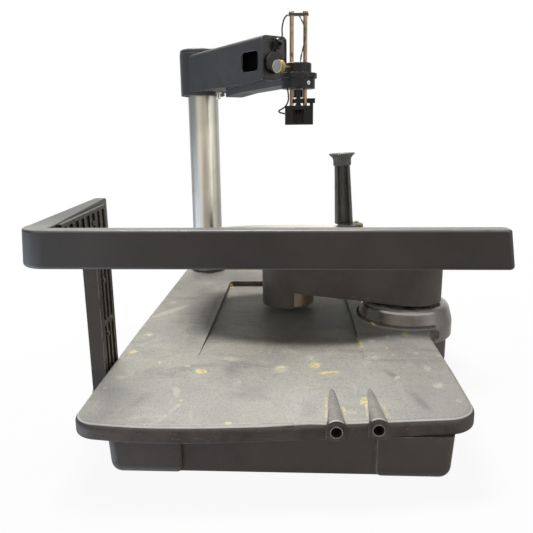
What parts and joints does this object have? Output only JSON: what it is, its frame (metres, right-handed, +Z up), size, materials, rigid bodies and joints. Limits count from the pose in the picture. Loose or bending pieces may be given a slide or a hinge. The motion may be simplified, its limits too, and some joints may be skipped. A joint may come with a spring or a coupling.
{
  "type": "fraction collector",
  "caption": "Bench fraction collector: low housing and deck, swing arm with a turning rack plate, and a column-mounted delivery arm with a sliding drop head.",
  "frame": {"origin": "middle of the whole object's box at bench level", "axes": "+X to the user's right, +Y from the front guard bar towards the column, +Z up"},
  "size_m": [0.4344, 0.605, 0.4504],
  "materials": {
    "deck_grey": "matt, finely mottled",
    "housing_black": "satin",
    "shoulder_grey": "satin",
    "arm_black": "fine textured paint",
    "guard_charcoal": "satin paint, edges worn light",
    "guard_light": "satin paint",
    "column_metal": "brushed along its length",
    "elbow_bronze": "satin anodised",
    "plate_dark": "satin",
    "post_black": "satin, edges worn",
    "bright_steel": "bright",
    "screw_steel": "satin",
    "rod_bronze": "dulled",
    "brass": "bright",
    "gloss_black": "gloss",
    "rubber_black": "matt",
    "gear_nylon": "satin",
    "board_green": "satin",
    "lead_black": "satin",
    "lead_green": "satin"
  },
  "bodies": {
    "base": {"base_tray": "housing_black", "deck": "deck_grey", "shoulder_housing": "shoulder_grey", "drain_ferrules": "column_metal", "rubber_feet": "rubber_black", "base_screws": "screw_steel", "power_inlet": "gloss_black", "signal_sockets": "screw_steel", "power_supply": "screw_steel", "control_board": "board_green", "shoulder_motor": "screw_steel", "bearing_tube": "screw_steel", "shoulder_bearings": "bright_steel", "column": "column_metal", "column_collar": "arm_black", "column_socket": "screw_steel", "guard_bar": "guard_charcoal", "guard_post": "guard_light", "guard_bracket": "guard_charcoal", "guard_screws": "screw_steel"},
    "pinion": {"shoulder_pinion": "bright_steel"},
    "rocker": {"power_rocker": "gloss_black"},
    "swing_arm": {"shoulder_spindle": "bright_steel", "shoulder_gear": "gear_nylon", "arm_base": "shoulder_grey", "arm_cover": "shoulder_grey", "arm_screws": "screw_steel", "elbow_skirt": "shoulder_grey", "elbow_motor": "elbow_bronze", "elbow_bearing": "bright_steel"},
    "carrier": {"carrier_shaft": "bright_steel", "carrier_hub": "shoulder_grey", "carrier_plate": "plate_dark", "carrier_screws": "screw_steel", "post_foot": "post_black", "handle_post": "post_black", "post_cap": "post_black", "post_screws": "brass"},
    "sleeve": {"height_sleeve": "screw_steel"},
    "delivery_arm": {"arm_shell": "arm_black", "knuckle_cap": "arm_black", "end_collar": "gloss_black", "cable_gland": "gloss_black", "tube_beam": "arm_black", "head_ring": "arm_black", "head_flange": "arm_black", "head_cap": "arm_black", "grub_screw": "bright_steel", "gland_lead": "lead_black", "sensor_lead": "lead_black"},
    "thumb_screw": {"thumb_screw": "brass"},
    "clamp_screw": {"clamp_screw": "bright_steel"},
    "drop_head": {"guide_rods": "rod_bronze", "crossbar": "arm_black", "crossbar_screws": "rod_bronze", "sensor_block": "gloss_black", "tube_nut": "gloss_black", "drop_tube": "gloss_black", "tube_clip": "gloss_black", "signal_pair": "lead_green"}
  },
  "joints": [
    {"name": "shoulder_swing", "type": "hinge", "parent": "base", "child": "swing_arm", "pos_m": [0.16021, 0.001, 0.068], "axis": [0, 0, 1], "range_deg": [-45, 45]},
    {"name": "pinion_turn", "type": "hinge", "parent": "base", "child": "pinion", "pos_m": [0.12021, 0.001, 0.068], "axis": [0, 0, 1], "range_deg": [-200, 200]},
    {"name": "carrier_turn", "type": "hinge", "parent": "swing_arm", "child": "carrier", "pos_m": [0.00031, 0.062, 0.14], "axis": [0, 0, 1], "continuous": true},
    {"name": "arm_height", "type": "slide", "parent": "base", "child": "sleeve", "axis": [0, 0, 1], "range_m": [0, 0.03]},
    {"name": "arm_swing", "type": "hinge", "parent": "sleeve", "child": "delivery_arm", "pos_m": [-0.14679, 0.265, 0.39], "axis": [0, 0, 1], "range_deg": [-60, 90]},
    {"name": "head_slide", "type": "slide", "parent": "delivery_arm", "child": "drop_head", "axis": [0, 0, 1], "range_m": [-0.032, 0], "deforming": ["gland_lead", "sensor_lead", "signal_pair"]},
    {"name": "thumb_turn", "type": "hinge", "parent": "delivery_arm", "child": "thumb_screw", "pos_m": [0.01321, 0.0585, 0.3804], "axis": [0.6702, 0.7422, 0], "range_deg": [-180, 180]},
    {"name": "clamp_turn", "type": "hinge", "parent": "delivery_arm", "child": "clamp_screw", "pos_m": [-0.11623, 0.2272, 0.358], "axis": [0, 0, 1], "range_deg": [-180, 180]},
    {"name": "rocker_tilt", "type": "hinge", "parent": "base", "child": "rocker", "pos_m": [-0.02429, 0.2895, 0.026], "axis": [1, 0, 0], "range_deg": [0, 11]}
  ],
  "couplings": [
    {"joint": "pinion_turn", "follows": "shoulder_swing", "ratio": -4.3333}
  ]
}
